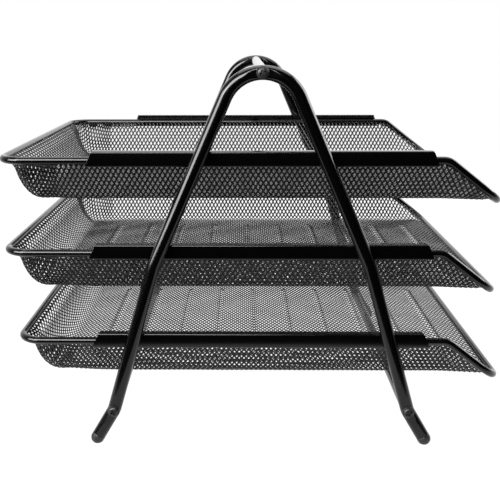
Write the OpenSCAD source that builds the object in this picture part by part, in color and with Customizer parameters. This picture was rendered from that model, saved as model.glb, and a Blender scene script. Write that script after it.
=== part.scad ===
// Three-tier sliding letter tray: two bent-tube side frames joined by three cross bars,
// six inward-facing C rails, and three mesh trays whose tube rims slide in the rails.
// Units mm, +Z up, +X towards the low front of the trays.
// Origin: middle of the overall footprint, on the ground.

/* [Stand] */
// overall width over the two side frames
stand_w = 295; // [245:1:355]
// overall height, ground to top of the side frames
stand_h = 270; // [225:1:325]
// outside diameter of the side frame tube
tube_d = 9.7; // [8:0.1:12]
// wall of the side frame tube
tube_t = 1.5; // [1.2:0.1:1.8]
// bend radius of the top arch, to the tube's centre line
arch_r = 27.4; // [22:0.1:34]
// lean of the upper leg from upright
upper_lean = 23.4; // [18:0.1:28]
// lean of the lower leg from upright
lower_lean = 16; // [12:0.1:20]
// lean of the foot from upright
foot_lean = 30.5; // [22:0.5:38]
// height of the bend between upper and lower leg
knee_z = 133; // [110:1:150]
// height of the bend above the foot, where the lower cross bars are screwed
ankle_z = 26; // [20:1:34]

/* [Rails] */
// length of a rail
rail_l = 241; // [200:1:260]
// height of a rail
rail_h = 10.8; // [9:0.1:14]
// sheet thickness of a rail
rail_t = 1; // [0.8:0.1:1.4]
// height of the middle of the lowest rail
rail_z = 76.6; // [65:0.1:85]
// height from one tier to the next
tier_pitch = 65.3; // [54:0.1:70]
// how much each rail's upper corners are cut back
rail_cut = 4.4; // [2:0.1:5]
// how deep the rails are let into the side frame tube
rail_seat = 0.3; // [0.1:0.05:0.6]

/* [Trays] */
// overall length of a tray over its rim
tray_l = 353; // [290:1:424]
// diameter of the rim tube
rim_d = 5.4; // [4.5:0.1:6.5]
// wall of the rim tube
rim_t = 0.8; // [0.6:0.1:1]
// plan bend radius of the two back corners of the rim, to its centre line
back_r = 17; // [12:0.5:22]
// bend radius of the two front corners of the rim
front_r = 19; // [14:0.5:22]
// radius of the bend where the rim turns down to the front
dip_r = 12.3; // [8:0.1:16]
// how far the front of the rim drops
dip_h = 30; // [22:0.1:34]
// slope of the rim where it drops
dip_a = 38; // [34:0.5:50]
// depth from the rim's centre line to the underside of the tray floor
tray_deep = 30.2; // [24:0.1:34]
// thickness of the expanded sheet
mesh_t = 0.7; // [0.5:0.1:1]
// how far the long walls lean in, rim to floor fold
side_in = 13; // [8:0.5:18]
// how far the back wall leans in before it rounds into the floor
back_in = 3; // [1:0.5:8]
// how far the rounding reaches in over the floor at the back
back_round = 21; // [12:0.5:26]
// plan radius of the floor's back corners
floor_r = 20; // [14:1:26]
// number of pressed floor beads
bead_n = 10; // [4:1:12]
// how far the front bead stays behind the front lip
bead_front = 22.4; // [16:0.1:34]
// how far the back bead stays in front of the top of the back wall
bead_back = 49; // [40:0.5:60]
// height of a floor bead
bead_h = 1.2; // [0.8:0.1:1.8]
// how far a floor bead stops short of the foot of the long walls
bead_stop = 28.7; // [20:0.1:36]
// how far behind the middle of the stand the trays sit
tray_back = 7.6; // [0:0.1:12]
// how far the bottom tray is drawn forward
bottom_pull = 6.5; // [0:0.1:12]

/* [Fittings] */
// diameter of the cross bars
bar_d = 8; // [7:0.1:9]
// diameter of the screw shanks
screw_d = 4.9; // [4:0.1:5.4]
// diameter of the screw heads
head_d = 8.8; // [8:0.1:9.4]
// height of the screw heads
head_h = 3; // [2.4:0.1:3.6]
// how deep the tube wall is pressed in flat under a screw or a bar end
press_in = 0.9; // [0.5:0.1:1.2]
// length of a foot cap beyond the end of its tube, before the dome
cap_l = 3; // [2:0.5:6]

/* [Clearances] */
// space between a rim tube and the rail flange under it
rim_under = 0.3; // [0.2:0.05:0.6]
// space between a rim tube and the rail web beside it
rim_side = 0.5; // [0.3:0.05:0.8]
// space between a rail flange and the tray mesh
mesh_gap = 0.3; // [0.3:0.05:0.6]
// how deep the rim tube bites into the top edge of the mesh
mesh_bite = 0.5; // [0.3:0.05:0.6]
// space round a screw in the tube walls, on the radius
screw_gap = 0.25; // [0.15:0.05:0.4]

/* [Hidden] */
$fn = 48;

frame_x = tray_back - bottom_pull / 2;
frame_y = (stand_w - tube_d) / 2;
tube_r = tube_d / 2;
bore_d = tube_d - 2 * tube_t;
arch_z = stand_h - tube_r;
top_v = arch_z + arch_r * (1 / sin(upper_lean) - 1);
knee_x = (top_v - knee_z) * tan(upper_lean);
ankle_x = knee_x + (knee_z - ankle_z) * tan(lower_lean);
tip_z = tube_r - 0.9;
foot_l = (ankle_z - tip_z) / cos(foot_lean);
foot_x = ankle_x + (ankle_z - tip_z) * tan(foot_lean);
knee_r = 58;
arch_n = 6;
ring_n = 20;
ankle_r = 20;
rail_y = frame_y - tube_r + rail_seat;
rim_r = rim_d / 2;
rim_y = rail_y - rail_t - rim_side - rim_r;
rim_x = (tray_l - rim_d) / 2;
rail_deep = rail_y - (rim_y - rim_r + mesh_bite + mesh_gap);
rim_drop = rail_h / 2 - rail_t - rim_under - rim_r;
tier_z = [rail_z + 2 * tier_pitch, rail_z + tier_pitch, rail_z];
tray_x = [-bottom_pull / 2, -bottom_pull / 2, bottom_pull / 2];
dip_l = dip_h / sin(dip_a);
dip_x = rim_x - dip_l * cos(dip_a);
dip_cut = dip_r * tan(dip_a / 2);
seam_y = 12;
seam_gap = 0.4;
bend_full = 0.01;
run_in = 0.2;
seat_d = head_d + 1.6;
seat_y = frame_y + tube_r - press_in;
bar_end = frame_y - tube_r + press_in;
bar_hole = 14;
floor_z = -tray_deep;
bead_w = 5;
lip_h = mesh_t + 0.6;
skin_y = rim_y - rim_r + mesh_bite;
skin_x = rim_x - rim_r + mesh_bite;
bead_l = 2 * (skin_y - side_in - bead_stop);
bead_pitch = (2 * skin_x - bead_front - bead_back) / (bead_n - 1);
bead_x = (bead_back - bead_front) / 2;
screw_at = [[0, arch_z], [-ankle_x, ankle_z], [ankle_x, ankle_z]];

// ---- side frames -------------------------------------------------------

// a bend of round tube about z, turning by a, its wall a hair fuller than the straight tube's
module bend(r, d, bore, a) {
    rotate_extrude(angle = a)
        translate([r, 0])
            ring(d + 2 * bend_full, bore - 2 * bend_full);
}

// the section of a tube; bore 0 or less is solid bar
module ring(d, bore) {
    difference() {
        circle(d = d);
        if (bore > 0) circle(d = bore);
    }
}

// a straight length of tube along +z, running on by a and b into the bends at its two ends
module straight(l, d, bore, a, b) {
    translate([0, 0, -a])
        linear_extrude(height = l + a + b)
            ring(d, bore);
}

// unit vector at angle a in the XZ plane
function way(a) = [cos(a), sin(a)];

// stations [x, z, heading] round a bend of radius r at vertex v, from heading d1 to d2
function bend_stations(v, r, d1, d2, n) =
    let (
        s = sign(d2 - d1),
        start = v - r * tan(abs(d2 - d1) / 2) * way(d1),
        mid = start + r * way(d1 + 90 * s)
    )
    [for (i = [0 : n]) let (d = d1 + (d2 - d1) * i / n, p = mid - r * way(d + 90 * s)) [p[0], p[1], d]];

// stations down one side, from just past the top of the arch to the cut end of the foot
function side_stations() =
    let (f = [ankle_x, ankle_z] + (foot_l - cap_l) * way(foot_lean - 90))
    concat(
        [for (i = [1 : arch_n]) let (a = 90 - (90 - upper_lean) * i / arch_n)
            [arch_r * cos(a), arch_z - arch_r + arch_r * sin(a), a - 90]],
        bend_stations([knee_x, knee_z], knee_r, upper_lean - 90, lower_lean - 90, 2),
        bend_stations([ankle_x, ankle_z], ankle_r, lower_lean - 90, foot_lean - 90, 3),
        [[f[0], f[1], foot_lean - 90]]
    );

// the whole centre line, left foot to right foot
function frame_stations() =
    let (h = side_stations())
    concat(
        [for (i = [len(h) - 1 : -1 : 0]) [-h[i][0], h[i][1], -h[i][2]]],
        [[0, arch_z, 0]],
        h
    );

function tube_ring(p, r) =
    [for (j = [0 : ring_n - 1]) let (b = 360 * j / ring_n)
        [p[0] - r * cos(b) * sin(p[2]), r * sin(b), p[1] + r * cos(b) * cos(p[2])]];

// the bent tube, as a ring of faces at each station, outside and inside
module frame_tube() {
    st = frame_stations();
    m = len(st);
    k = m * ring_n;
    polyhedron(
        points = concat(
            [for (p = st) each tube_ring(p, tube_r)],
            [for (p = st) each tube_ring(p, bore_d / 2)]
        ),
        faces = concat(
            [for (i = [0 : m - 2]) for (j = [0 : ring_n - 1]) let (q = (j + 1) % ring_n)
                [i * ring_n + j, i * ring_n + q, (i + 1) * ring_n + q, (i + 1) * ring_n + j]],
            [for (i = [0 : m - 2]) for (j = [0 : ring_n - 1]) let (q = (j + 1) % ring_n)
                [k + (i + 1) * ring_n + j, k + (i + 1) * ring_n + q, k + i * ring_n + q, k + i * ring_n + j]],
            [for (j = [0 : ring_n - 1]) let (q = (j + 1) % ring_n) [q, j, k + j, k + q]],
            [for (j = [0 : ring_n - 1]) let (q = (j + 1) % ring_n, e = (m - 1) * ring_n)
                [e + j, e + q, k + e + q, k + e + j]]
        )
    );
}

// the side frame, lying in the plane y = 0 with its outer side at -y; the tube is pressed
// flat under each screw head and each bar end, and where a rail crosses it
module side_frame() {
    difference() {
        frame_tube();
        for (p = screw_at)
            translate([p[0], 0, p[1]])
                rotate([90, 0, 0]) {
                    translate([0, 0, tube_r - press_in])
                        cylinder(d = seat_d, h = 5);
                    translate([0, 0, press_in - tube_r - 5])
                        cylinder(d = seat_d, h = 5);
                    translate([0, 0, -10])
                        cylinder(d = screw_d + 2 * screw_gap, h = 20);
                }
        for (z = tier_z)
            translate([-rail_l / 2, tube_r - rail_seat, z - rail_h / 2])
                cube([rail_l, 5, rail_h]);
    }
}

module side_frame_near() {
    color([0.02, 0.02, 0.02])
        translate([frame_x, -frame_y, 0])
            side_frame();
}

module side_frame_far() {
    color([0.02, 0.02, 0.02])
        translate([frame_x, frame_y, 0])
            mirror([0, 1, 0])
                side_frame();
}

// ---- rails -------------------------------------------------------------

// an inward-facing C rail on the near side: web outside, two flanges inwards
module rail(z) {
    translate([frame_x, -rail_y, z])
        difference() {
            translate([0, rail_deep, 0])
                rotate([90, 0, 0])
                    linear_extrude(height = rail_deep)
                        polygon([
                            [-rail_l / 2, -rail_h / 2],
                            [rail_l / 2, -rail_h / 2],
                            [rail_l / 2 - rail_cut * 0.1, -rail_h * 0.24],
                            [rail_l / 2 - rail_cut * 0.31, 0],
                            [rail_l / 2 - rail_cut * 0.62, rail_h * 0.26],
                            [rail_l / 2 - rail_cut, rail_h / 2],
                            [-rail_l / 2 + rail_cut, rail_h / 2],
                            [-rail_l / 2 + rail_cut * 0.62, rail_h * 0.26],
                            [-rail_l / 2 + rail_cut * 0.31, 0],
                            [-rail_l / 2 + rail_cut * 0.1, -rail_h * 0.24]
                        ]);
            translate([-rail_l / 2 - 1, rail_t, rail_t - rail_h / 2])
                cube([rail_l + 2, rail_deep, rail_h - 2 * rail_t]);
        }
}

module rail_near_top() {
    color([0.02, 0.02, 0.02])
        rail(tier_z[0]);
}

module rail_near_middle() {
    color([0.02, 0.02, 0.02])
        rail(tier_z[1]);
}

module rail_near_bottom() {
    color([0.02, 0.02, 0.02])
        rail(tier_z[2]);
}

module rail_far_top() {
    color([0.02, 0.02, 0.02])
        mirror([0, 1, 0])
            rail(tier_z[0]);
}

module rail_far_middle() {
    color([0.02, 0.02, 0.02])
        mirror([0, 1, 0])
            rail(tier_z[1]);
}

module rail_far_bottom() {
    color([0.02, 0.02, 0.02])
        mirror([0, 1, 0])
            rail(tier_z[2]);
}

// ---- cross bars, screws and foot caps -----------------------------------

// a round bar with a blind threaded hole in each end
module cross_bar(p) {
    translate([frame_x + p[0], 0, p[1]])
        rotate([90, 0, 0])
            difference() {
                cylinder(d = bar_d, h = 2 * bar_end, center = true);
                for (s = [-1, 1])
                    translate([0, 0, s * (bar_end - bar_hole / 2 + 1)])
                        cylinder(d = screw_d, h = bar_hole + 2, center = true);
            }
}

module cross_bar_top() {
    color([0.85, 0.85, 0.86])
        cross_bar(screw_at[0]);
}

module cross_bar_back() {
    color([0.02, 0.02, 0.02])
        cross_bar(screw_at[1]);
}

module cross_bar_front() {
    color([0.02, 0.02, 0.02])
        cross_bar(screw_at[2]);
}

// a collared pan-head screw with a cross recess, head at +z, underside at z = 0
module screw() {
    difference() {
        union() {
            translate([0, 0, -(seat_y - bar_end) - 10])
                cylinder(d = screw_d, h = seat_y - bar_end + 10.5);
            cylinder(d = head_d, h = 0.9);
            cylinder(d = head_d * 0.84, h = 1.4);
            translate([0, 0, 1.4])
                intersection() {
                    cylinder(d = head_d * 0.84, h = head_h);
                    translate([0, 0, head_h - 1.4 - head_d])
                        sphere(r = head_d);
                }
        }
        for (a = [0, 90])
            rotate([0, 0, a])
                translate([-2.2, -0.55, head_h - 1.5])
                    cube([4.4, 1.1, 2]);
    }
}

module frame_screws() {
    color([0.05, 0.05, 0.05])
        for (s = [0, 1])
            mirror([0, s, 0])
                for (p = screw_at)
                    translate([frame_x + p[0], -seat_y, p[1]])
                        rotate([90, 0, 0])
                            screw();
}

// a domed plastic plug in the end of each foot, flattened where it meets the ground
module foot_cap() {
    difference() {
        translate([ankle_x, 0, ankle_z])
            rotate([0, 180 - foot_lean, 0])
                translate([0, 0, foot_l])
                    rotate_extrude()
                        polygon(concat(
                            [[0, -cap_l - 7], [bore_d / 2, -cap_l - 7], [bore_d / 2, -cap_l]],
                            [[tube_r, -cap_l]],
                            [for (a = [0 : 15 : 90]) [tube_r * cos(a), tube_r * sin(a)]]
                        ));
        translate([0, -20, -20])
            cube([200, 40, 20]);
    }
}

module foot_caps() {
    color([0.06, 0.06, 0.06])
        translate([frame_x, 0, 0])
            for (s = [0, 1])
                mirror([s, 0, 0])
                    for (y = [-frame_y, frame_y])
                        translate([0, y, 0])
                            foot_cap();
}

// ---- tray rims ----------------------------------------------------------

// one side of the rim loop, from the end of the back run round to the middle of the front
module rim_half(d, bore) {
    translate([-rim_x + back_r, rim_y, 0])
        rotate([0, 90, 0])
            straight(dip_x - dip_cut + rim_x - back_r, d, bore, run_in, run_in);
    translate([-rim_x + back_r, rim_y - back_r, 0])
        rotate([0, 0, 90])
            bend(back_r, d, bore, 90);
    translate([dip_x - dip_cut, rim_y, -dip_r])
        rotate([90, 0, 0])
            rotate([0, 0, 90 - dip_a])
                bend(dip_r, d, bore, dip_a);
    translate([dip_x, rim_y, 0])
        rotate([0, dip_a, 0]) {
            translate([dip_cut, 0, 0])
                rotate([0, 90, 0])
                    straight(dip_l - front_r - dip_cut, d, bore, run_in, run_in);
            translate([dip_l - front_r, -front_r, 0])
                bend(front_r, d, bore, 90);
        }
}

// a straight run of the rim along y at x, z, from y0 to y1, running on by a and b
module rim_run(x, z, y0, y1, d, bore, a, b) {
    translate([x, y0, z])
        rotate([-90, 0, 0])
            straight(y1 - y0, d, bore, a, b);
}

module rim_loop(d, bore, gap) {
    for (s = [0, 1])
        mirror([0, s, 0])
            rim_half(d, bore);
    rim_run(rim_x, -dip_h, front_r - rim_y, rim_y - front_r, d, bore, run_in, run_in);
    rim_run(-rim_x, 0, back_r - rim_y, seam_y - gap / 2, d, bore, run_in, 0);
    rim_run(-rim_x, 0, seam_y + gap / 2, rim_y - back_r, d, bore, 0, run_in);
}

module rim() {
    rim_loop(rim_d, rim_d - 2 * rim_t, seam_gap);
}

// the pin inside the rim tube that joins its two ends
module rim_pin() {
    translate([-rim_x, seam_y - 12, 0])
        rotate([-90, 0, 0])
            cylinder(d = rim_d - 2 * rim_t, h = 24);
}

// moves a tray part to its tier
module at_tier(k) {
    translate([tray_x[k], 0, tier_z[k] - rim_drop])
        children();
}

module rim_top() {
    color([0.02, 0.02, 0.02])
        at_tier(0)
            rim();
}

module rim_middle() {
    color([0.02, 0.02, 0.02])
        at_tier(1)
            rim();
}

module rim_bottom() {
    color([0.02, 0.02, 0.02])
        at_tier(2)
            rim();
}

module rim_pin_top() {
    color([0.4, 0.4, 0.42])
        at_tier(0)
            rim_pin();
}

module rim_pin_middle() {
    color([0.4, 0.4, 0.42])
        at_tier(1)
            rim_pin();
}

module rim_pin_bottom() {
    color([0.4, 0.4, 0.42])
        at_tier(2)
            rim_pin();
}

// ---- mesh baskets -------------------------------------------------------

// height of the rim's centre line at x, never lower than the turned-up front lip
function rim_h(x) =
    let (u = x - dip_x, w = 4)
    max(floor_z + lip_h,
        u < -w ? 0 :
        u < w ? -tan(dip_a) * pow(u + w, 2) / (4 * w) :
        -tan(dip_a) * u);

// quarter turns of a closed outline through four corners, n steps a corner;
// corner = [centre x, centre y, radius x, radius y, start angle]
function corner_pts(c, n) =
    [for (i = [0 : n]) let (a = c[4] + 90 * i / n) [c[0] + c[2] * cos(a), c[1] + c[3] * sin(a)]];

// straight run of one long side, with extra points through the dip
function side_pts(xa, xb, y) =
    [for (t = [0.2, 0.4, 0.6, 0.8]) [xa + (dip_x - 6 - xa) * t, y],
     for (u = [-6, -3, -1, 1, 3, 6]) [dip_x + u, y]];

function reversed(v) = [for (i = [len(v) - 1 : -1 : 0]) v[i]];

// closed plan outline, inset from the rim by e, with back inset b, side inset s, radii rb and rf
function outline(b, s, f, rb, rfx, rfy) =
    let (xa = -skin_x + b, xb = skin_x - f, y = skin_y - s)
    concat(
        corner_pts([xb - rfx, y - rfy, rfx, rfy, 0], 8),
        reversed(side_pts(xa + rb, xb - rfx, y)),
        corner_pts([xa + rb, y - rb, rb, rb, 90], 8),
        corner_pts([xa + rb, -y + rb, rb, rb, 180], 8),
        [for (p = side_pts(xa + rb, xb - rfx, y)) [p[0], -p[1]]],
        corner_pts([xb - rfx, -y + rfy, rfx, rfy, 270], 8)
    );

// how rounded the fold is at station x: 0 along the sides, 1 at the back
function roundness(x) = let (t = min(1, max(0, (-x / skin_x - 0.72) / 0.26))) t * t * (3 - 2 * t);

// rings of points from the top edge down to the floor; e is the inset of the inner skin
function basket_pts(e, zf) =
    let (
        a2 = outline(e, e, e, back_r - rim_r, front_r * cos(dip_a) - rim_r, front_r - rim_r),
        k2 = outline(back_in + e, side_in + e, 1 + e, floor_r - 4, 8, 8),
        f2 = outline(back_in + back_round + e, side_in + 3.5 + e, 3 + e, floor_r - 8, 6, 6),
        n = len(a2)
    )
    [for (v = [0 : 5])
        for (i = [0 : n - 1])
            let (
                a = [a2[i][0], a2[i][1], rim_h(a2[i][0])],
                g = roundness(a2[i][0]),
                k = [k2[i][0], k2[i][1], zf],
                f = [f2[i][0], f2[i][1], zf],
                m = min(0.8, 4 / norm(a - k)) * (1 - g) + 0.8 * g,
                p = k + (a - k) * m,
                t = (v - 1) / 4
            )
            v == 0 ? a : p * pow(1 - t, 2) + k * (2 * t * (1 - t)) + f * pow(t, 2)];

module basket_skin() {
    outer = basket_pts(0, floor_z);
    inner = basket_pts(mesh_t, floor_z + mesh_t);
    n = len(outer) / 6;
    m = len(outer);
    polyhedron(
        points = concat(outer, inner),
        faces = concat(
            [for (v = [0 : 4]) for (i = [0 : n - 1]) let (j = (i + 1) % n)
                [v * n + i, v * n + j, (v + 1) * n + j]],
            [for (v = [0 : 4]) for (i = [0 : n - 1]) let (j = (i + 1) % n)
                [v * n + i, (v + 1) * n + j, (v + 1) * n + i]],
            [for (v = [0 : 4]) for (i = [0 : n - 1]) let (j = (i + 1) % n)
                [m + v * n + i, m + (v + 1) * n + j, m + v * n + j]],
            [for (v = [0 : 4]) for (i = [0 : n - 1]) let (j = (i + 1) % n)
                [m + v * n + i, m + (v + 1) * n + i, m + (v + 1) * n + j]],
            [for (i = [0 : n - 1]) let (j = (i + 1) % n) [i, m + i, m + j]],
            [for (i = [0 : n - 1]) let (j = (i + 1) % n) [i, m + j, j]],
            [[for (i = [0 : n - 1]) 5 * n + i]],
            [[for (i = [n - 1 : -1 : 0]) m + 5 * n + i]]
        )
    );
}

// V-shaped beads pressed up in the floor, running across the tray
module beads(w, h, z, extra) {
    for (k = [0 : bead_n - 1])
        translate([bead_x + (k - (bead_n - 1) / 2) * bead_pitch, bead_l / 2 + extra, z])
            rotate([90, 0, 0])
                linear_extrude(height = bead_l + 2 * extra)
                    polygon([[-w / 2, 0], [w / 2, 0], [0, h]]);
}

module basket() {
    difference() {
        union() {
            basket_skin();
            beads(bead_w, bead_h, floor_z + mesh_t - 0.001, 0);
        }
        beads(bead_w, bead_h, floor_z, -0.8);
        rim_loop(rim_d, 0, 0);
    }
}

module basket_top() {
    color([0.03, 0.03, 0.03])
        at_tier(0)
            basket();
}

module basket_middle() {
    color([0.03, 0.03, 0.03])
        at_tier(1)
            basket();
}

module basket_bottom() {
    color([0.03, 0.03, 0.03])
        at_tier(2)
            basket();
}

side_frame_near();
side_frame_far();
rail_near_top();
rail_near_middle();
rail_near_bottom();
rail_far_top();
rail_far_middle();
rail_far_bottom();
cross_bar_top();
cross_bar_back();
cross_bar_front();
frame_screws();
foot_caps();
rim_top();
rim_middle();
rim_bottom();
rim_pin_top();
rim_pin_middle();
rim_pin_bottom();
basket_top();
basket_middle();
basket_bottom();
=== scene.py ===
# %% [markdown]
# # A three-tier letter tray with sliding mesh trays
# The stand is two bent steel tubes, six folded rails and three cross bars. Each tray is a loop of thin
# tube with a basket of expanded mesh under it. The engineered model is loaded first and never moved: the
# pieces made here are placed on it, and take its sizes.

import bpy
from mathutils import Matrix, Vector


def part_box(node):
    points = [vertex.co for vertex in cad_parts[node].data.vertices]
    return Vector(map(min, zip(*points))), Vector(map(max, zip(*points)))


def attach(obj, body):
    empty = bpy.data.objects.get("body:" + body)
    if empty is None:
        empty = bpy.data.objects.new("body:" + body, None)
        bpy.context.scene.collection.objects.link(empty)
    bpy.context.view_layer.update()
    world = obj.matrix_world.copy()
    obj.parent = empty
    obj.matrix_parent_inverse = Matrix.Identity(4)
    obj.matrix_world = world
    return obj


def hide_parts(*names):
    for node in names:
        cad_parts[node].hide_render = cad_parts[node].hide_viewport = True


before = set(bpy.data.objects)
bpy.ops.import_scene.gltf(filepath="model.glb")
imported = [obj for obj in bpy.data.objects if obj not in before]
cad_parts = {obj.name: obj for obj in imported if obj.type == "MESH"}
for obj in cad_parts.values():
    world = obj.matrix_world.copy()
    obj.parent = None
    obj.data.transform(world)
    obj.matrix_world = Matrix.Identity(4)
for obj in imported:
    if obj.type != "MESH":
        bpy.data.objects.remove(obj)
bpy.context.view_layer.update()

# %% [markdown]
# ## Tools for the whole lesson
# numpy does the sums for many points at once. All sizes are written in millimetres, as a maker would, and
# turned into metres when a mesh is made.

# %% Imports and units
import math

import bpy
import numpy as np
from mathutils import Matrix, Vector

MM = 0.001


def box_mm(node):
    """Lowest and highest corners of a CAD node, in millimetres."""
    low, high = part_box(node)
    return np.array(low) / MM, np.array(high) / MM


print("top rail:", [c.round(1).tolist() for c in box_mm("rail_near_top")])

# %% [markdown]
# ## Writing shader sums as sums
# A finish is a small network of nodes. To keep a recipe readable, a socket is wrapped in a class whose
# operators each add a Math node, so that 0.2 + 0.1 * speckle is a recipe. The reflected forms let a plain
# number stand on the left. Every other node comes from one method of the recipe.

# %% A socket that can be added, taken away and multiplied
class Amount:
    def __init__(self, finish, socket):
        self.finish, self.socket = finish, socket

    def sum_node(self, operation, a, b):
        return self.finish.node("ShaderNodeMath", {"operation": operation}, {0: a, 1: b})

    def __add__(self, other):
        return self.sum_node("ADD", self, other)

    def __radd__(self, other):
        return self.sum_node("ADD", other, self)

    def __sub__(self, other):
        return self.sum_node("SUBTRACT", self, other)

    def __rsub__(self, other):
        return self.sum_node("SUBTRACT", other, self)

    def __mul__(self, other):
        return self.sum_node("MULTIPLY", self, other)

    def __rmul__(self, other):
        return self.sum_node("MULTIPLY", other, self)


# %% A recipe: a network of nodes that ends in one shader
class Recipe:
    def __init__(self, tree, shader):
        self.tree, self.shader = tree, tree.nodes[shader]

    def node(self, kind, settings=None, inputs=None, output=0):
        made = self.tree.nodes.new(kind)
        for key, value in (settings or {}).items():
            setattr(made, key, value)
        for key, value in (inputs or {}).items():
            self.feed(made.inputs[key], value)
        return Amount(self, made.outputs[output])

    def feed(self, socket, value):
        if isinstance(value, Amount):
            self.tree.links.new(value.socket, socket)
        else:
            socket.default_value = value

    def gives(self, **sockets):
        for name, value in sockets.items():
            self.feed(self.shader.inputs[name.replace("_", " ")], value)
        return self

    def place(self):
        return self.node("ShaderNodeTexCoord", output=3)

    def cloud(self, scale, detail=2.0, where=None):
        inputs = {"Vector": where or self.place(), "Scale": scale, "Detail": detail}
        return self.node("ShaderNodeTexNoise", {}, inputs)

    def blend(self, mask, a, b):
        return self.node("ShaderNodeMix", {"data_type": "RGBA"}, {0: mask, 6: a, 7: b}, output=2)

    def bump(self, height, depth_mm, strength=1.0):
        inputs = {"Height": height, "Distance": depth_mm * MM, "Strength": strength}
        return self.node("ShaderNodeBump", {}, inputs)


# %% A finish: one material and its recipe
class Finish(Recipe):
    def __init__(self, name, **constants):
        self.material = bpy.data.materials.new(name)
        self.material.use_nodes = True
        super().__init__(self.material.node_tree, "Principled BSDF")
        for socket, value in constants.items():
            self.shader.inputs[socket.replace("_", " ")].default_value = value


def grey(v, warm=0.0):
    return (v * (1 + warm), v, v * (1 - warm), 1)


print("finish tools ready")

# %% [markdown]
# ## Gloss black powder coat
# Powder coat is sprayed on dry and melted in an oven. It flows into a hard skin with a very faint ripple
# about a millimetre across, like orange peel, and small differences in shine where hands have been. The
# ripple is a fine noise into a Bump node, and a broad noise moves the roughness a little.

# %% The coat on the stand
def powder_coat(name, dark, light, shine, spread, ripple):
    coat = Finish(name, Specular_IOR_Level=0.35)
    broad = coat.cloud(28, 3)
    fine = coat.cloud(900, 2)
    specks = coat.node("ShaderNodeMapRange", {}, {0: coat.cloud(2600, 0), 1: 0.62, 2: 0.8, 3: 0.0, 4: 1.0})
    colour = coat.blend(broad * 0.7 + 0.3 * fine, grey(dark), grey(light, 0.02))
    return coat.gives(
        Base_Color=colour,
        Roughness=shine + spread * (broad - 0.5) + 0.08 * specks,
        Normal=coat.bump(fine + 0.3 * specks, ripple),
    )


black_coat = powder_coat("black_coat", 0.0002, 0.0006, 0.15, 0.05, 0.004)
rim_coat = powder_coat("rim_coat", 0.0002, 0.0006, 0.16, 0.05, 0.003)
mesh_coat = powder_coat("mesh_coat", 0.0004, 0.0010, 0.20, 0.08, 0.006)
print("coats:", [c.material.name for c in (black_coat, rim_coat, mesh_coat)])

# %% [markdown]
# ## Bright bar, screws, feet and pins
# The top bar is bright plated steel, drawn through a die, so fine lines run along it. The screws are
# plated black, and painted shade darkens their recesses. The foot caps are moulded plastic with a fine
# spark-eroded grain. The pins inside the rims are plain steel.

# %% The other four finishes
bright_bar = Finish("bright_bar", Metallic=1.0)
fine_lines = {"Vector": bright_bar.place(), "Scale": (1500.0, 12.0, 1500.0)}
along = bright_bar.node("ShaderNodeMapping", {}, fine_lines)
drawn = bright_bar.cloud(1.0, 3, along)
bright_bar.gives(
    Base_Color=bright_bar.blend(drawn, grey(0.30, 0.01), grey(0.38)),
    Roughness=0.24 + 0.16 * drawn,
    Normal=bright_bar.bump(drawn, 0.01, 0.6),
)

screw_black = Finish("screw_black", Metallic=0.6)
pits = screw_black.cloud(700, 4)
screw_black.gives(
    Base_Color=screw_black.blend(pits, grey(0.012), grey(0.032, 0.03)),
    Roughness=0.26 + 0.2 * pits,
    Normal=screw_black.bump(pits, 0.02, 0.5),
)

cap_plastic = Finish("cap_plastic", Specular_IOR_Level=0.45)
grain = cap_plastic.cloud(1800, 3)
cap_plastic.gives(
    Base_Color=cap_plastic.blend(grain, grey(0.003), grey(0.006, 0.02)),
    Roughness=0.28 + 0.12 * grain,
    Normal=cap_plastic.bump(grain, 0.03, 0.7),
)

pin_steel = Finish("pin_steel", Metallic=1.0)
turned = pin_steel.cloud(1500, 2)
pin_steel.gives(
    Base_Color=pin_steel.blend(turned, grey(0.42), grey(0.55, 0.02)),
    Roughness=0.3 + 0.2 * turned,
)
print("metals and plastic ready")

# %% [markdown]
# ## From points to pieces
# Each piece is made from a list of points and a list of faces. One helper turns them into a Blender
# object, gives it its finish, joins it to the moving body that it belongs to, and hides the engineered
# nodes that it stands for.

# %% Make a piece
def make_mesh(name, points, faces, crease=40):
    mesh = bpy.data.meshes.new(name)
    mesh.from_pydata((np.asarray(points) * MM).tolist(), [], faces)
    mesh.validate()
    mesh.shade_smooth()
    if crease:
        mesh.set_sharp_from_angle(angle=math.radians(crease))
    return mesh


def add_piece(name, mesh, finish, slot, body, *nodes, at=(0, 0, 0)):
    piece = bpy.data.objects.new(name, mesh)
    bpy.context.scene.collection.objects.link(piece)
    piece.location = Vector(at) * MM
    if not mesh.materials:
        mesh.materials.append(finish.material)
    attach(piece, body)
    if nodes:
        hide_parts(*nodes)
    return piece


# %% [markdown]
# ## Bending tube
# A tube bender starts from a line of straight runs and rounds each corner to the radius of its former.
# The helper below does the same: it takes the corner points and a radius for each, and gives back a
# smooth centre line. A ring of points is then carried along that line without twisting.

# %% Round the corners of a line
def bent_line(corners, radii, step=3.0, run=12.0):
    corners = [np.array(c, float) for c in corners]
    line = [corners[0]]

    def straight_to(end):
        start = line[-1]
        count = max(1, int(np.linalg.norm(end - start) / run))
        line.extend(start + (end - start) * (i + 1) / count for i in range(count))

    for before, corner, after, radius in zip(corners, corners[1:], corners[2:], radii):
        a = (before - corner) / np.linalg.norm(before - corner)
        b = (after - corner) / np.linalg.norm(after - corner)
        half = math.acos(np.clip(a @ b, -1, 1)) / 2
        reach = radius / math.tan(half)
        middle = corner + (a + b) / np.linalg.norm(a + b) * radius / math.sin(half)
        start, end = corner + a * reach, corner + b * reach
        straight_to(start)
        turn = math.pi - 2 * half
        u = (start - middle) / radius
        v = (end - middle) / radius
        side = (v - u * (u @ v)) / np.linalg.norm(v - u * (u @ v))
        count = max(4, int(math.degrees(turn) / step))
        for i in range(1, count + 1):
            angle = turn * i / count
            line.append(middle + radius * (u * math.cos(angle) + side * math.sin(angle)))
    straight_to(corners[-1])
    return np.array(line)


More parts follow.
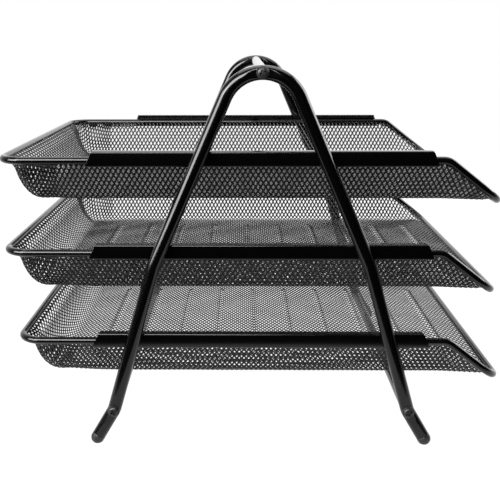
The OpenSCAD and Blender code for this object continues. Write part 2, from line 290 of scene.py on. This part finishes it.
# %% Carry a ring along a line
def tube_rings(line, radius, sides):
    ahead = np.gradient(line, axis=0)
    ahead /= np.linalg.norm(ahead, axis=1)[:, None]
    up = np.cross(ahead[0], (0.0, 1.0, 0.0))
    if np.linalg.norm(up) < 0.1:
        up = np.cross(ahead[0], (1.0, 0.0, 0.0))
    rings = []
    angles = np.arange(sides) * 2 * math.pi / sides
    for point, way in zip(line, ahead):
        up = up - way * (up @ way)
        up /= np.linalg.norm(up)
        across = np.cross(way, up)
        rings.append(point + radius * (np.cos(angles)[:, None] * up + np.sin(angles)[:, None] * across))
    return np.array(rings)


def tube_faces(count, sides):
    faces = []
    for i in range(count - 1):
        for j in range(sides):
            k = (j + 1) % sides
            faces.append((i * sides + j, i * sides + k, (i + 1) * sides + k, (i + 1) * sides + j))
    return faces


print("bending tools ready")

# %% [markdown]
# ## The side frames
# Each side frame is one tube: a tight arch at the top, two splayed legs with a slow bend in them, and
# short feet that kick outwards. Where a screw goes through, the press has flattened the wall into a
# shallow dish, and the light catches it. The flats are made by limiting how far the ring may stand out
# near each screw, with a smooth edge.

# %% Sizes of the stand
frame_low, frame_high = box_mm("side_frame_near")
tube_r, arch_bend, dish = 4.85, 27.4, 0.9
frame_y = -(frame_low[1] + tube_r)
frame_x = (frame_low[0] + frame_high[0]) / 2
arch_z = frame_high[2] - tube_r
upper_lean, lower_lean, foot_lean = (math.radians(a) for a in (23.4, 16.0, 30.5))
knee_z, ankle_z, tip_z = 133.0, 26.0, tube_r - 0.9
peak_z = arch_z + arch_bend * (1 / math.sin(upper_lean) - 1)
knee_x = (peak_z - knee_z) * math.tan(upper_lean)
ankle_x = knee_x + (knee_z - ankle_z) * math.tan(lower_lean)
foot_x = ankle_x + (ankle_z - tip_z) * math.tan(foot_lean)
screw_places = [(0.0, arch_z), (-ankle_x, ankle_z), (ankle_x, ankle_z)]
foot_way = np.array((math.sin(foot_lean), 0.0, -math.cos(foot_lean)))
tube_end = np.array((foot_x, 0.0, tip_z)) - 3.0 * foot_way
print("arch centre line at", round(arch_z, 2), "mm; feet at +-", round(foot_x, 2), "mm")
print("frame centre y", round(frame_y, 2), "mm")

# %% Bend the tube and press in the dishes
def frame_tube():
    ends = tube_end * (-1, 1, 1), tube_end
    line = bent_line(
        [ends[0], (-ankle_x, 0, ankle_z), (-knee_x, 0, knee_z), (0, 0, peak_z),
         (knee_x, 0, knee_z), (ankle_x, 0, ankle_z), ends[1]],
        [20, 58, arch_bend, 58, 20], step=2.0, run=1.6)
    sides = 40
    rings = tube_rings(line, tube_r, sides)
    points = rings.reshape(-1, 3)
    for x, z in screw_places:
        away = np.hypot(points[:, 0] - x, points[:, 2] - z)
        rise = np.clip((away - 4.6) / 9.0, 0, 1)
        rise = rise * rise * (3 - 2 * rise)
        limit = tube_r - dish * (1 - rise)
        points[:, 1] = np.clip(points[:, 1], -limit, limit)
    for rail in ("top", "middle", "bottom"):
        low, high = box_mm(f"rail_near_{rail}")
        beside = (points[:, 2] > low[2] - 0.6) & (points[:, 2] < high[2] + 0.6)
        beside &= np.abs(points[:, 0]) < (high[0] - low[0]) / 2 - 3
        points[beside, 1] = np.minimum(points[beside, 1], low[1] + frame_y)
    faces = tube_faces(len(line), sides)
    faces += [tuple(range(sides))[::-1], tuple((len(line) - 1) * sides + j for j in range(sides))]
    return points, faces


points, faces = frame_tube()
near_mesh = make_mesh("side_frame", points, faces, crease=50)
far_points = points * (1, -1, 1)
far_mesh = make_mesh("side_frame_mirrored", far_points, [f[::-1] for f in faces], crease=50)
for side, mesh, y in (("near", near_mesh, -frame_y), ("far", far_mesh, frame_y)):
    add_piece(f"frame_{side}", mesh, black_coat, "black_coat", "stand", f"side_frame_{side}",
              at=(frame_x, y, 0))
print("side frame points:", len(points))

# %% [markdown]
# ## The rails
# A rail is folded from a strip of sheet into a C that opens towards the tray, and its upper corners are
# nipped off in a curve so that nothing snags. The section is drawn once with soft bends and pulled along
# the length, and each point of the section stops where the nipped corner says it should.

# %% Draw the section of a rail
def arc(cy, cz, r, a0, a1, n=5):
    return [(cy + r * math.cos(math.radians(a0 + (a1 - a0) * i / n)),
             cz + r * math.sin(math.radians(a0 + (a1 - a0) * i / n))) for i in range(n + 1)]


def rail_section(deep, tall, sheet, bend=1.3):
    h = tall / 2
    outer = ([(deep, -h)] + arc(bend, -h + bend, bend, 270, 180)
             + arc(bend, h - bend, bend, 180, 90) + [(deep, h)])
    inner_bend = bend - 0.7 * sheet
    inner = ([(deep, h - sheet)] + arc(sheet + inner_bend, h - sheet - inner_bend, inner_bend, 90, 180)
             + arc(sheet + inner_bend, -h + sheet + inner_bend, inner_bend, 180, 270) + [(deep, -h + sheet)])
    return outer + inner


def rail_mesh(side):
    low, high = box_mm(f"rail_{side}_top")
    size = high - low
    section = rail_section(size[1], size[2], 1.0)
    half = size[0] / 2
    points, faces = [], []
    for end in (-1, 1):
        for y, z in section:
            nip = 4.4 * max(0.0, (z + size[2] / 2) / size[2]) ** 1.7
            points.append((end * (half - nip), y, z))
    n = len(section)
    for j in range(n):
        k = (j + 1) % n
        faces.append((j, k, n + k, n + j))
    for j in range(n // 2 - 1):
        faces.append((j, n - 1 - j, n - 2 - j, j + 1))
        faces.append((n + j, n + j + 1, n + n - 2 - j, n + n - 1 - j))
    points = np.array(points)
    if side == "far":
        points = points * (1, -1, 1)
        faces = [f[::-1] for f in faces]
    return make_mesh(f"rail_{side}", points, faces, crease=35)


# %% Fix the six rails
for side, outer_row in (("near", 0), ("far", 1)):
    mesh = rail_mesh(side)
    for tier in ("top", "middle", "bottom"):
        node = f"rail_{side}_{tier}"
        low, high = box_mm(node)
        at = ((low[0] + high[0]) / 2, (low, high)[outer_row][1], (low[2] + high[2]) / 2)
        rail = add_piece(f"folded_{node}", mesh, black_coat, "black_coat", "stand", node, at=at)
        edge = rail.modifiers.new("softened edge", "BEVEL")
        edge.width, edge.segments = 0.18 * MM, 2
        edge.limit_method, edge.angle_limit = "ANGLE", math.radians(50)
    print(side, "rails sit at y =", round(at[1], 2), "mm")

# %% [markdown]
# ## Cross bars and foot caps
# Turned pieces are drawn as half a section and spun round. A cross bar is a solid rod with a small
# chamfer at each end. A foot cap has a thin collar where it meets the tube, a domed end and a small flat
# that has settled where it touches the desk.

# %% Spin a section
def spin(section, sides=48):
    angles = np.arange(sides) * 2 * math.pi / sides
    points, faces = [], []
    for r, h in section:
        points += [(r * math.cos(a), r * math.sin(a), h) for a in angles]
    for i in range(len(section) - 1):
        for j in range(sides):
            k = (j + 1) % sides
            faces.append((i * sides + j, i * sides + k, (i + 1) * sides + k, (i + 1) * sides + j))
    faces += [tuple(range(sides))[::-1], tuple((len(section) - 1) * sides + j for j in range(sides))]
    return np.array(points), faces


# %% The three cross bars
bar_low, bar_high = box_mm("cross_bar_top")
bar_r, bar_half = (bar_high[2] - bar_low[2]) / 2, (bar_high[1] - bar_low[1]) / 2
chamfer = 0.5
rod, rod_faces = spin([(bar_r - chamfer, -bar_half), (bar_r, -bar_half + chamfer),
                       (bar_r, bar_half - chamfer), (bar_r - chamfer, bar_half)])
rod = rod[:, (0, 2, 1)] * (1, 1, -1)
for name, (x, z), finish, slot in (
        ("top", screw_places[0], bright_bar, "bright_bar"),
        ("back", screw_places[1], black_coat, "black_coat"),
        ("front", screw_places[2], black_coat, "black_coat")):
    mesh = make_mesh(f"rod_{name}", rod, rod_faces, crease=30)
    add_piece(f"rod_{name}", mesh, finish, slot, "stand", f"cross_bar_{name}", at=(frame_x + x, 0, z))
print("rods:", round(2 * bar_half, 1), "mm long,", round(2 * bar_r, 1), "mm across")

# %% The four foot caps
plug_r = 3.35
dome = [(tube_r * math.cos(math.radians(a)), tube_r * math.sin(math.radians(a)))
        for a in range(0, 90, 6)]
collar = [(tube_r - 0.35, -3.0), (tube_r - 0.05, -2.8), (tube_r, -2.4)]
cap_section = [(plug_r, -10), (plug_r, -3.0)] + collar + dome + [(0.3, tube_r - 0.01)]
cap, cap_faces = spin(cap_section, 40)
lean = math.pi - foot_lean
tilt = np.array(Matrix.Rotation(lean, 3, "Y"))
caps, all_faces = [], []
for sx in (-1, 1):
    for y in (-frame_y, frame_y):
        placed = cap @ tilt.T + (foot_x, 0, tip_z)
        placed[:, 2] = np.maximum(placed[:, 2], 0)
        placed = placed * (sx, 1, 1) + (frame_x, y, 0)
        base = len(caps) * len(cap)
        all_faces += [tuple(base + i for i in (f if sx > 0 else f[::-1])) for f in cap_faces]
        caps.append(placed)
feet_mesh = make_mesh("feet", np.vstack(caps), all_faces, crease=50)
add_piece("feet", feet_mesh, cap_plastic, "cap_plastic", "stand", "foot_caps")
print("foot caps stand on z =", np.vstack(caps)[:, 2].min())

# %% [markdown]
# ## Screws
# Six pan-head screws with a thin collar hold the cross bars. The head is cold-formed: a punch leaves a
# dome and a cross-shaped recess. The head is a round sheet of points whose height is worked out at each
# point: collar, dome, then the cross sunk into it. The recess has its own rougher, darker finish, and the
# darker colour is painted shade in the recess.

# %% Height of a screw head
# The recess finish is darker than the head: painted shade in the cross recess, on a rougher surface.
recess_painted_shade = Finish("recess_painted_shade", Metallic=0.3)
shade_mottle = recess_painted_shade.cloud(900, 3)
recess_painted_shade.gives(
    Base_Color=recess_painted_shade.blend(shade_mottle, grey(0.004), grey(0.012)),
    Roughness=0.5 + 0.2 * shade_mottle,
)
head_r, shank_r = 4.4, 2.4


def in_cross(x, y):
    a, b = np.maximum(np.abs(x), np.abs(y)), np.minimum(np.abs(x), np.abs(y))
    return np.clip((2.35 - a) / 0.3, 0, 1) * np.clip((0.62 - b + 0.12 * (2.2 - a)) / 0.25, 0, 1)


def head_height(x, y):
    r = np.hypot(x, y)
    dome = 1.35 + 1.65 * np.sqrt(np.clip(1 - (r / 3.75) ** 2, 0, 1)) ** 0.9
    collar = 0.9 - 0.5 * np.clip((r - 4.1) / 0.3, 0, 1) ** 2
    top = np.where(r < 3.7, dome, collar)
    return top - 1.7 * in_cross(x, y)


# %% Form the six heads
def screw_mesh():
    sides = 96
    rows = [0.12 * i for i in range(1, 31)] + [3.66, 3.7, 3.74, 3.9, 4.1, 4.25, 4.35, head_r]
    angles = np.arange(sides) * 2 * math.pi / sides
    points = [(0.0, 0.0, float(head_height(np.array(0.0), np.array(0.0))))]
    for r in rows:
        x, y = r * np.cos(angles), r * np.sin(angles)
        points += list(zip(x, y, head_height(x, y)))
    for r, z in ((head_r, -0.1), (shank_r, -0.1), (shank_r, -14.0)):
        points += [(r * math.cos(a), r * math.sin(a), z) for a in angles]
    points = np.array(points)
    faces = [(0, 1 + j, 1 + (j + 1) % sides) for j in range(sides)]
    for i in range(len(rows) + 2):
        base = 1 + i * sides
        for j in range(sides):
            k = (j + 1) % sides
            faces.append((base + j, base + sides + j, base + sides + k, base + k))
    faces.append(tuple(1 + (len(rows) + 2) * sides + j for j in range(sides)))
    return points, faces


screw_points, screw_faces = screw_mesh()
turn = math.radians(24)
spun = screw_points.copy()
spun[:, 0] = screw_points[:, 0] * math.cos(turn) - screw_points[:, 1] * math.sin(turn)
spun[:, 1] = screw_points[:, 0] * math.sin(turn) + screw_points[:, 1] * math.cos(turn)
seat_y = frame_y + tube_r - dish
all_points, all_faces = [], []
for side in (-1, 1):
    for x, z in screw_places:
        placed = np.stack([frame_x + spun[:, 0], side * (seat_y + spun[:, 2]), z + spun[:, 1]], -1)
        placed[:, 0] += x
        base = len(all_points) * len(spun)
        all_faces += [tuple(base + i for i in (f if side < 0 else f[::-1])) for f in screw_faces]
        all_points.append(placed)
screw_sheet = make_mesh("screws", np.vstack(all_points), all_faces, crease=35)
screw_sheet.materials.append(screw_black.material)
screw_sheet.materials.append(recess_painted_shade.material)
middles = np.array([np.mean(screw_points[list(f)], axis=0) for f in screw_faces])
sunk = np.array([in_cross(m[0], m[1]) for m in middles]) > 0.35
# Faces sunk in the cross take the second finish, the painted shade of the recess.
painted_shade_faces = np.tile(sunk & (middles[:, 2] > 0), 6)
screw_sheet.polygons.foreach_set("material_index", painted_shade_faces.astype(np.int32))
add_piece("screws", screw_sheet, screw_black, "screw_black", "stand", "frame_screws")
print("screw heads:", len(all_points), "faces each:", len(screw_faces))

# %% [markdown]
# ## The pins that stay as engineered
# The pins inside the rims already have the right shape in the engineered model, so they are kept. Their
# points are joined and their edges softened with modifiers, which leave the stored shape alone.

# %% Dress the pins
for node in ("rim_pin_top", "rim_pin_middle", "rim_pin_bottom"):
    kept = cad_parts[node]
    kept.data.materials.clear()
    kept.data.materials.append(pin_steel.material)
    join = kept.modifiers.new("joined points", "WELD")
    join.merge_threshold = 0.005 * MM
    edge = kept.modifiers.new("softened edge", "BEVEL")
    edge.width, edge.segments, edge.limit_method, edge.angle_limit = 0.2 * MM, 2, "ANGLE", math.radians(35)
    print("kept", node)

# %% [markdown]
# ## The tray rims
# A rim is one length of thin tube bent into a loop: level round the back and sides, then down a slope to
# a low front, so that paper slides out easily. The two ends meet in the back run, on a pin, and the
# joint shows as a hairline.

# %% Bend a rim
rim_low, rim_high = box_mm("rim_top")
rim_r, bore_r, bite = 2.7, 1.9, 0.5
rim_x = (rim_high[0] - rim_low[0]) / 2 - rim_r
rim_y = rim_high[1] - rim_r
dip_h, dip_slope, front_r = 30.0, math.radians(38), 19.0
dip_x = rim_x - dip_h / math.tan(dip_slope)
seam_y, seam_gap = 12.0, 0.4


def rim_mesh():
    line = bent_line(
        [(-rim_x, seam_y + seam_gap / 2, 0), (-rim_x, rim_y, 0), (dip_x, rim_y, 0),
         (rim_x, rim_y, -dip_h), (rim_x, -rim_y, -dip_h),
         (dip_x, -rim_y, 0), (-rim_x, -rim_y, 0), (-rim_x, seam_y - seam_gap / 2, 0)],
        [17, 12.3, front_r, front_r, 12.3, 17], step=5.0, run=30.0)
    sides = 28
    rings = tube_rings(line, rim_r, sides)
    points = list(rings.reshape(-1, 3))
    faces = tube_faces(len(line), sides)
    for row, flip in ((0, True), (len(line) - 1, False)):
        centre = line[row]
        base = len(points)
        points += list(centre + (rings[row] - centre) * (bore_r / rim_r))
        for j in range(sides):
            k = (j + 1) % sides
            quad = (row * sides + j, row * sides + k, base + k, base + j)
            faces.append(quad[::-1] if flip else quad)
    return make_mesh("rim", np.array(points), faces, crease=50)


rim = rim_mesh()
tray_places = {}
for tier in ("top", "middle", "bottom"):
    low, high = box_mm(f"rim_{tier}")
    tray_places[tier] = ((low[0] + high[0]) / 2, 0, high[2] - rim_r)
    add_piece(f"loop_{tier}", rim, rim_coat, "rim_coat", f"tray_{tier}", f"rim_{tier}",
              at=tray_places[tier])
print("tray places:", {k: [round(float(c), 2) for c in v] for k, v in tray_places.items()})

# %% [markdown]
# ## Where the mesh lies
# The basket is pressed from one flat sheet. A point on the flat sheet is named by p, along the tray, and
# q, across it, both measured on the metal. The helper below says where that point ends up: on the floor,
# up a long wall, up the back, or round a corner, with a crisp fold along the sides and a wide soft one at
# the back. Ten low ridges are pressed into the floor to stiffen it.

# %% Outline sizes of a basket
floor_z = -29.85
front_reach, front_round = front_r * math.cos(dip_slope) - rim_r, front_r - rim_r
skin_x, skin_y = rim_x - rim_r + bite, rim_y - rim_r + bite
fold_side, round_in = skin_y - 13.0, 24.0
corner_x, corner_y, fold_r = -skin_x + 36.0, fold_side - 20.0, 20.0
top_r = 14.3
ridge_xs = [13.3 + (k - 4.5) * 30.2 for k in range(10)]
print("floor:", round(2 * skin_x - round_in, 1), "by", round(2 * fold_side, 1), "mm")


def rim_height(x):
    u = x - dip_x
    slope = math.tan(dip_slope)
    h = np.where(u < -4, 0.0, np.where(u < 4, -slope * (u + 4) ** 2 / 16, -slope * u))
    return np.maximum(floor_z + 1.3, h)


def half_width(x, full, start, rx, ry):
    u = np.clip((x - start) / rx, 0, 1)
    return full - ry + ry * np.sqrt(1 - u * u)


# %% How far the rim is from the middle of a corner, in each direction
def corner_reach(nx, ny):
    to_back = (skin_x + corner_x) / np.maximum(nx, 1e-6)
    to_side = (skin_y - corner_y) / np.maximum(ny, 1e-6)
    reach = np.minimum(to_back, to_side)
    ox, oy = -corner_x - (skin_x - top_r), corner_y - (skin_y - top_r)
    along = ox * nx + oy * ny
    inside = along * along - (ox * ox + oy * oy - top_r * top_r)
    hit = -along + np.sqrt(np.maximum(inside, 0))
    round_hit = (inside > 0) & (hit * nx + ox > 0) & (hit * ny + oy > 0)
    return np.where(round_hit, np.minimum(hit, reach), reach)


# %% Place a point of the flat sheet on the pressed basket
def pressed(p, q):
    p, q = np.broadcast_arrays(np.asarray(p, float), np.asarray(q, float))
    aq = np.abs(q)
    x = np.minimum(p, skin_x)
    side_round = 0.35 * np.clip((corner_x + 28 - p) / 28, 0, 1) ** 2
    fold_y = half_width(x, fold_side, skin_x - 9.0, 8.0, 8.0)
    top_y = half_width(x, skin_y, skin_x - front_reach, front_reach, front_round)
    back, corner = (p < corner_x) & (aq <= corner_y), (p < corner_x) & (aq > corner_y)
    cx, cy = corner_x - p, aq - corner_y
    r = np.maximum(np.hypot(cx, cy), 1e-6)
    ux, uy = np.where(corner, cx / r, 0.0), np.where(corner, cy / r, 1.0)
    ux, uy = np.where(back, 1.0, ux), np.where(back, 0.0, uy)
    roundness = np.where(p < corner_x, 0.35 + 0.65 * np.sin(np.arctan2(ux, uy)) ** 1.5, side_round)
    middle_x = np.where(p < corner_x, corner_x, x)
    middle_y = np.where(back, aq, np.where(corner, corner_y, 0.0))
    far = np.where(back, skin_x + corner_x, np.where(corner, corner_reach(ux, uy), top_y))
    crisp = np.where(p < corner_x, fold_r, fold_y)
    near = (1 - roundness) * crisp + roundness * (far - round_in)
    gone = np.where(back, cx, np.where(corner, r, aq))
    d, reach = gone - near, far - near
    rise = np.where(p < corner_x, 0.0, rim_height(x)) - floor_z
    slant = ((1 - roundness) * np.hypot(reach, rise)
             + roundness * math.pi / 2 * np.sqrt((reach ** 2 + rise ** 2) / 2))
    soft = 3.0 * np.clip(-rise / floor_z, 0.2, 1)
    u = 0.5 * (d + np.sqrt(d * d + soft * soft))
    s = np.clip(u / slant, 0, 1)
    bow = math.pi / 2 * s
    flare = np.clip((s - 0.8) / 0.2, 0, 1) ** 2
    bulge = (reach - 6.0) * np.sin(bow) + 6.0 * flare
    out = d - u + (1 - roundness) * reach * s + roundness * bulge
    z = floor_z + rise * ((1 - roundness) * s + roundness * (1 - np.cos(bow)))
    out = np.minimum(out, reach)
    y = np.where(q < 0, -1, 1) * (middle_y + uy * (near + out))
    px = middle_x - ux * (near + out)
    ridge = sum(np.maximum(0, 1 - np.abs(px - k) / 2.6) for k in ridge_xs)
    z = z + 1.3 * ridge * np.clip((92 - np.abs(y)) / 4, 0, 1) * (d < 0)
    z = z + 0.16 * np.sin(p / 9.1 + 1.3 * np.sin(q / 23.0)) * np.sin(q / 11.3 + 0.7)
    return np.stack([px, y, z], -1), d, slant


# %% [markdown]
# ## Weaving the expanded mesh
# Expanded mesh isn't woven: a sheet is slit in staggered rows and pulled, so that each slit opens into a
# diamond and the metal between becomes a net of flat strands, tilted a little. Here each strand is a
# four-sided bar between two knots of the net, laid on the pressed surface and turned to follow it. The
# long way of the diamonds runs across the floor and up the long walls.

# %% Lay a net of strands
SHORT_WAY, LONG_WAY = 3.6, 6.8


def net(p_shift=0.0, band=None, lift=0.0, wide=1.35, thick=1.05):
    i = np.arange(-62 * 2, 60 * 2)
    j = np.arange(-29 * 2, 29 * 2)
    ii, jj = np.meshgrid(i, j, indexing="ij")
    knots = (ii + jj) % 2 == 0
    ii, jj = ii[knots], jj[knots]
    starts, ends = [], []
    for dj in (-1, 1):
        starts.append(np.stack([ii, jj], -1))
        ends.append(np.stack([ii + 1, jj + dj], -1))
    starts, ends = np.vstack(starts), np.vstack(ends)

    def lay(knot):
        p = knot[:, 0] * SHORT_WAY / 2 + p_shift
        q = knot[:, 1] * LONG_WAY / 2 + 0.4
        place, d, slant = pressed(p, q)
        e = 0.4
        dp = pressed(p + e, q)[0] - pressed(p - e, q)[0]
        dq = pressed(p, q + e)[0] - pressed(p, q - e)[0]
        up = np.cross(dp, dq)
        length = np.linalg.norm(up, axis=1)[:, None]
        up = np.where(length > 1e-9, up / np.maximum(length, 1e-9), (0, 0, 1.0))
        inside = (d < slant + 0.3) & (p < skin_x + 0.3)
        if band:
            inside &= (slant - d < band) & (d > 0)
        return place + up * lift, up, inside

    a, up_a, in_a = lay(starts)
    b, up_b, in_b = lay(ends)
    keep = (in_a | in_b) & (np.linalg.norm(b - a, axis=1) > 0.5) & (np.linalg.norm(b - a, axis=1) < 6.0)
    if band:
        keep &= in_a & in_b
    a, b, up_a, up_b = a[keep], b[keep], up_a[keep], up_b[keep]
    way = (b - a) / np.linalg.norm(b - a, axis=1)[:, None]
    count = len(a)
    points = np.empty((count, 8, 3))
    for row, (knot, up) in enumerate(((a, up_a), (b, up_b))):
        across = np.cross(way, up)
        across /= np.maximum(np.linalg.norm(across, axis=1), 1e-9)[:, None]
        tip = math.radians(12)
        flat = across * math.cos(tip) + up * math.sin(tip)
        edge = up * math.cos(tip) - across * math.sin(tip)
        corners = (flat * wide / 2, edge * thick / 2, -flat * wide / 2, -edge * thick / 2)
        for k, c in enumerate(corners):
            points[:, row * 4 + k] = knot + c
    base = np.arange(count)[:, None] * 8
    quads = np.concatenate([base + np.array([k, (k + 1) % 4, 4 + (k + 1) % 4, 4 + k]) for k in range(4)])
    return points.reshape(-1, 3), quads


points, quads = net()
print("strands:", len(quads) // 4, "triangles:", 2 * len(quads))

# %% [markdown]
# ## Joining the mesh to the rim
# The cut edge of the sheet is sharp, so it is folded back on itself under the rim. The fold shows as a
# band a little over four and a half millimetres tall where the net is double. It is a second net,
# shifted by half a diamond, laid just outside the first.

# %% Make the three baskets
hem_tall = 4.6
hem_points, hem_quads = net(p_shift=SHORT_WAY / 2, band=hem_tall, lift=-0.6, wide=1.2, thick=0.6)
net_mesh = make_mesh("net", points, quads.tolist(), crease=0)
hem_mesh = make_mesh("hem", hem_points, hem_quads.tolist(), crease=0)
for tier in ("top", "middle", "bottom"):
    at = tray_places[tier]
    body = f"tray_{tier}"
    add_piece(f"net_{tier}", net_mesh, mesh_coat, "mesh_coat", body, f"basket_{tier}", at=at)
    add_piece(f"hem_{tier}", hem_mesh, mesh_coat, "mesh_coat", body, at=at)
print("hem triangles:", 2 * len(hem_quads))

# %% [markdown]
# ## Floor, light and camera
# The tray stands on a plain pale floor. Gloss black shows only what it reflects, so the light is built
# from four large soft panels: one overhead, for the bright line along every rim, two at the front left,
# for the band down the legs, and one at the right, for the line down the outer edge of the right leg. A
# pale surround is dim on the camera's side, so that the faces turned that way stay black.

# %% The floor
def plain_floor(radius=980.0, centre_y=700.0, sides=96):
    angles = [2 * math.pi * k / sides for k in range(sides)]
    ring = [(radius * math.cos(a), centre_y + radius * math.sin(a), 0) for a in angles]
    mesh = make_mesh("floor", ring, [tuple(range(sides))], crease=0)
    floor = bpy.data.objects.new("floor", mesh)
    bpy.context.scene.collection.objects.link(floor)
    paint = Finish("floor_paint", Roughness=0.9, Specular_IOR_Level=0.1,
                   Emission_Color=(1, 1, 1, 1), Emission_Strength=0.97)
    paint.gives(Base_Color=paint.blend(paint.cloud(3, 2), grey(0.05), grey(0.06)))
    mesh.materials.append(paint.material)


plain_floor()
print("floor laid")

# %% Soft panels
def panel(name, at, towards, width, height, glow, spread=180):
    light = bpy.data.lights.new(name, "AREA")
    light.shape, light.size, light.size_y = "RECTANGLE", width, height
    light.energy = glow * math.pi * width * height
    light.spread = math.radians(spread)
    lamp = bpy.data.objects.new(name, light)
    bpy.context.scene.collection.objects.link(lamp)
    lamp.location = at
    lamp.rotation_euler = (Vector(towards) - Vector(at)).to_track_quat("-Z", "Y").to_euler()


panel("overhead", (0.1, 0.3, 1.35), (0.1, 0.3, 0.0), 1.6, 1.1, 1.6, 130)
panel("key", (-0.50, -1.15, 0.88), (0.0, 0.0, 0.2), 1.2, 0.6, 6.0, 100)
panel("left_front", (-1.10, -0.80, 0.55), (0.0, 0.0, 0.2), 0.9, 0.7, 5.0, 100)
panel("right_side", (1.05, 0.34, 0.75), (0.1, 0.0, 0.2), 0.8, 0.7, 7.0, 180)

# %% Surround
world = bpy.data.worlds.new("surround")
bpy.context.scene.world = world
world.use_nodes = True
sky = Recipe(world.node_tree, "Background")
depth_in = sky.node("ShaderNodeSeparateXYZ", {}, {0: sky.node("ShaderNodeTexCoord")}, output=1)
dimmed = sky.node("ShaderNodeMapRange", {}, {0: depth_in, 1: -0.1, 2: 0.9, 3: 0.01, 4: 1.5})
seen = sky.node("ShaderNodeLightPath")
sky.gives(Strength=sky.node("ShaderNodeMix", {}, {0: seen, 2: dimmed, 3: 1.0}), Color=(1, 1, 1, 1))
bpy.context.scene.view_settings.view_transform = "Standard"
print("panels and surround ready")

# %% [markdown]
# ## The camera
# The camera stands in front of one side frame, a little above the top tray, and looks down at about
# fourteen degrees.

# %% Place the camera
def place_camera():
    yaw, pitch, roll = (math.radians(a) for a in (0.93, 13.89, -0.16))
    right = Vector((math.cos(yaw), math.sin(yaw), 0))
    ahead = Vector((-math.sin(yaw) * math.cos(pitch), math.cos(yaw) * math.cos(pitch), -math.sin(pitch)))
    up = right.cross(ahead)
    right, up = right * math.cos(roll) + up * math.sin(roll), up * math.cos(roll) - right * math.sin(roll)
    data = bpy.data.cameras.new("camera")
    data.sensor_width, data.lens = 36.0, 60.925
    data.shift_x, data.shift_y = 0.0434, -0.00984
    data.clip_start, data.clip_end = 0.01, 50
    camera = bpy.data.objects.new("camera", data)
    bpy.context.scene.collection.objects.link(camera)
    turn = Matrix((right, up, -ahead)).transposed().to_4x4()
    camera.matrix_world = Matrix.Translation((-0.00942, -0.70897, 0.28856)) @ turn
    bpy.context.scene.camera = camera
    return camera


camera = place_camera()
print("camera at", [round(c, 3) for c in camera.location], "lens", round(camera.data.lens, 1), "mm")
